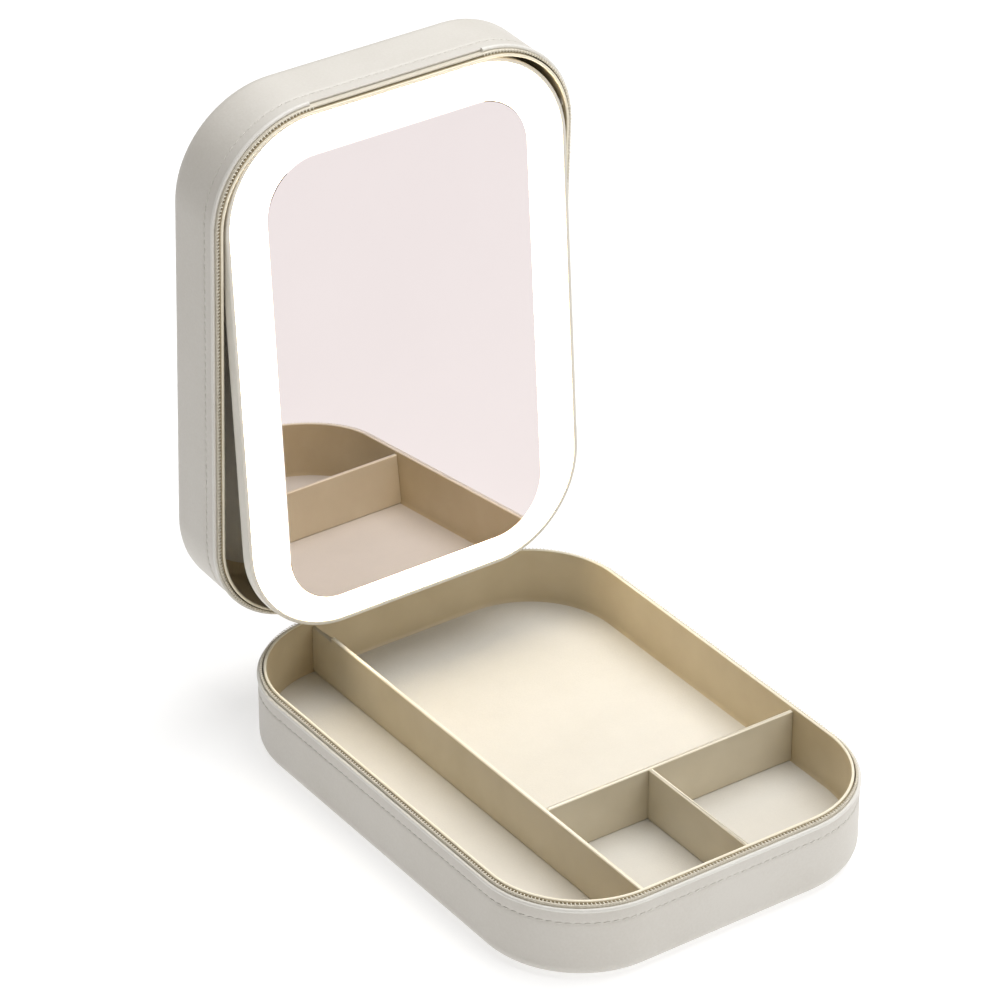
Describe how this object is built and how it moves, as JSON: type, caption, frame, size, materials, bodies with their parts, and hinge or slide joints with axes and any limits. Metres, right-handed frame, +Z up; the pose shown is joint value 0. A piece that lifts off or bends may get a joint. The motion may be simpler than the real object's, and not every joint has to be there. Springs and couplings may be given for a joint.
{
  "type": "travel jewelry case",
  "caption": "Rounded rectangular zip case: divided tray in the base, hinged lid holding a tilting mirror panel framed by a light ring.",
  "frame": {"origin": "centre of the base's underside, on the surface the case stands on", "axes": "+Z up, +X along the spine, +Y from the front of the tray towards the spine; lid shown open"},
  "size_m": [0.1426, 0.2247, 0.2318],
  "materials": {
    "ivory_leather": "fine pebbled semi-matt leatherette",
    "core_board": "dense formed board",
    "foam": "soft foam board",
    "tray_plastic": "satin champagne moulding",
    "suede": "short-nap suede cloth",
    "divider_plastic": "soft-touch champagne board",
    "welt_leather": "folded edge",
    "zip_tape": "woven tape",
    "zip_coil": "nylon coil",
    "pale_gold": "polished plated metal",
    "pin_steel": "turned",
    "bush_plastic": "moulded",
    "housing_plastic": "satin moulding",
    "light_ring": "milky diffuser, lit",
    "mirror_silver": "silvered glass",
    "led_flex": "flexible lamp strip",
    "reflector": "white sheet",
    "cell_foil": "foil pouch",
    "circuit_board": "solder mask",
    "socket_metal": "plated shell"
  },
  "bodies": {
    "base": {"base_leather_cover": "ivory_leather", "base_core_shell": "core_board", "base_foam_board": "foam", "base_tray": "tray_plastic", "tray_floor_pad": "suede", "pen_divider": "divider_plastic", "cross_divider": "divider_plastic", "short_divider": "divider_plastic", "base_edge_welt": "welt_leather", "base_zip_tape": "zip_tape", "base_zip_coil": "zip_coil", "base_hinge_leaf": "ivory_leather", "zip_slider_left": "pale_gold", "zip_slider_right": "pale_gold"},
    "pull_left": {"zip_pull_left": "pale_gold"},
    "pull_right": {"zip_pull_right": "pale_gold"},
    "lid": {"lid_leather_cover": "ivory_leather", "lid_core_shell": "core_board", "lid_liner": "tray_plastic", "lid_back_pad": "suede", "lid_edge_welt": "welt_leather", "lid_zip_tape": "zip_tape", "lid_zip_coil": "zip_coil", "lid_hinge_leaf": "ivory_leather", "pivot_bush_left": "bush_plastic", "pivot_bush_right": "bush_plastic"},
    "mirror": {"mirror_housing": "housing_plastic", "light_diffuser": "light_ring", "mirror_glass": "mirror_silver", "led_strip": "led_flex", "reflector_plate": "reflector", "battery_cell": "cell_foil", "control_board": "circuit_board", "charge_socket": "socket_metal", "mirror_pin_left": "pin_steel", "mirror_pin_right": "pin_steel"}
  },
  "joints": [
    {"name": "lid_hinge", "type": "hinge", "parent": "base", "child": "lid", "pos_m": [0, 0.0995, 0.0325], "axis": [-1, 0, 0], "range_deg": [-87.5, 12.5]},
    {"name": "mirror_tilt", "type": "hinge", "parent": "lid", "child": "mirror", "pos_m": [0, 0.09312, 0.20158], "axis": [-1, 0, 0], "range_deg": [-6.5, 1]},
    {"name": "pull_left_swing", "type": "hinge", "parent": "base", "child": "pull_left", "pos_m": [-0.029, 0.10155, 0.0303], "axis": [1, 0, 0], "range_deg": [0, 70]},
    {"name": "pull_right_swing", "type": "hinge", "parent": "base", "child": "pull_right", "pos_m": [0.029, 0.10155, 0.0303], "axis": [1, 0, 0], "range_deg": [0, 70]}
  ],
  "couplings": [
    {"joint": "mirror_tilt", "follows": "lid_hinge", "ratio": 0.074286}
  ]
}
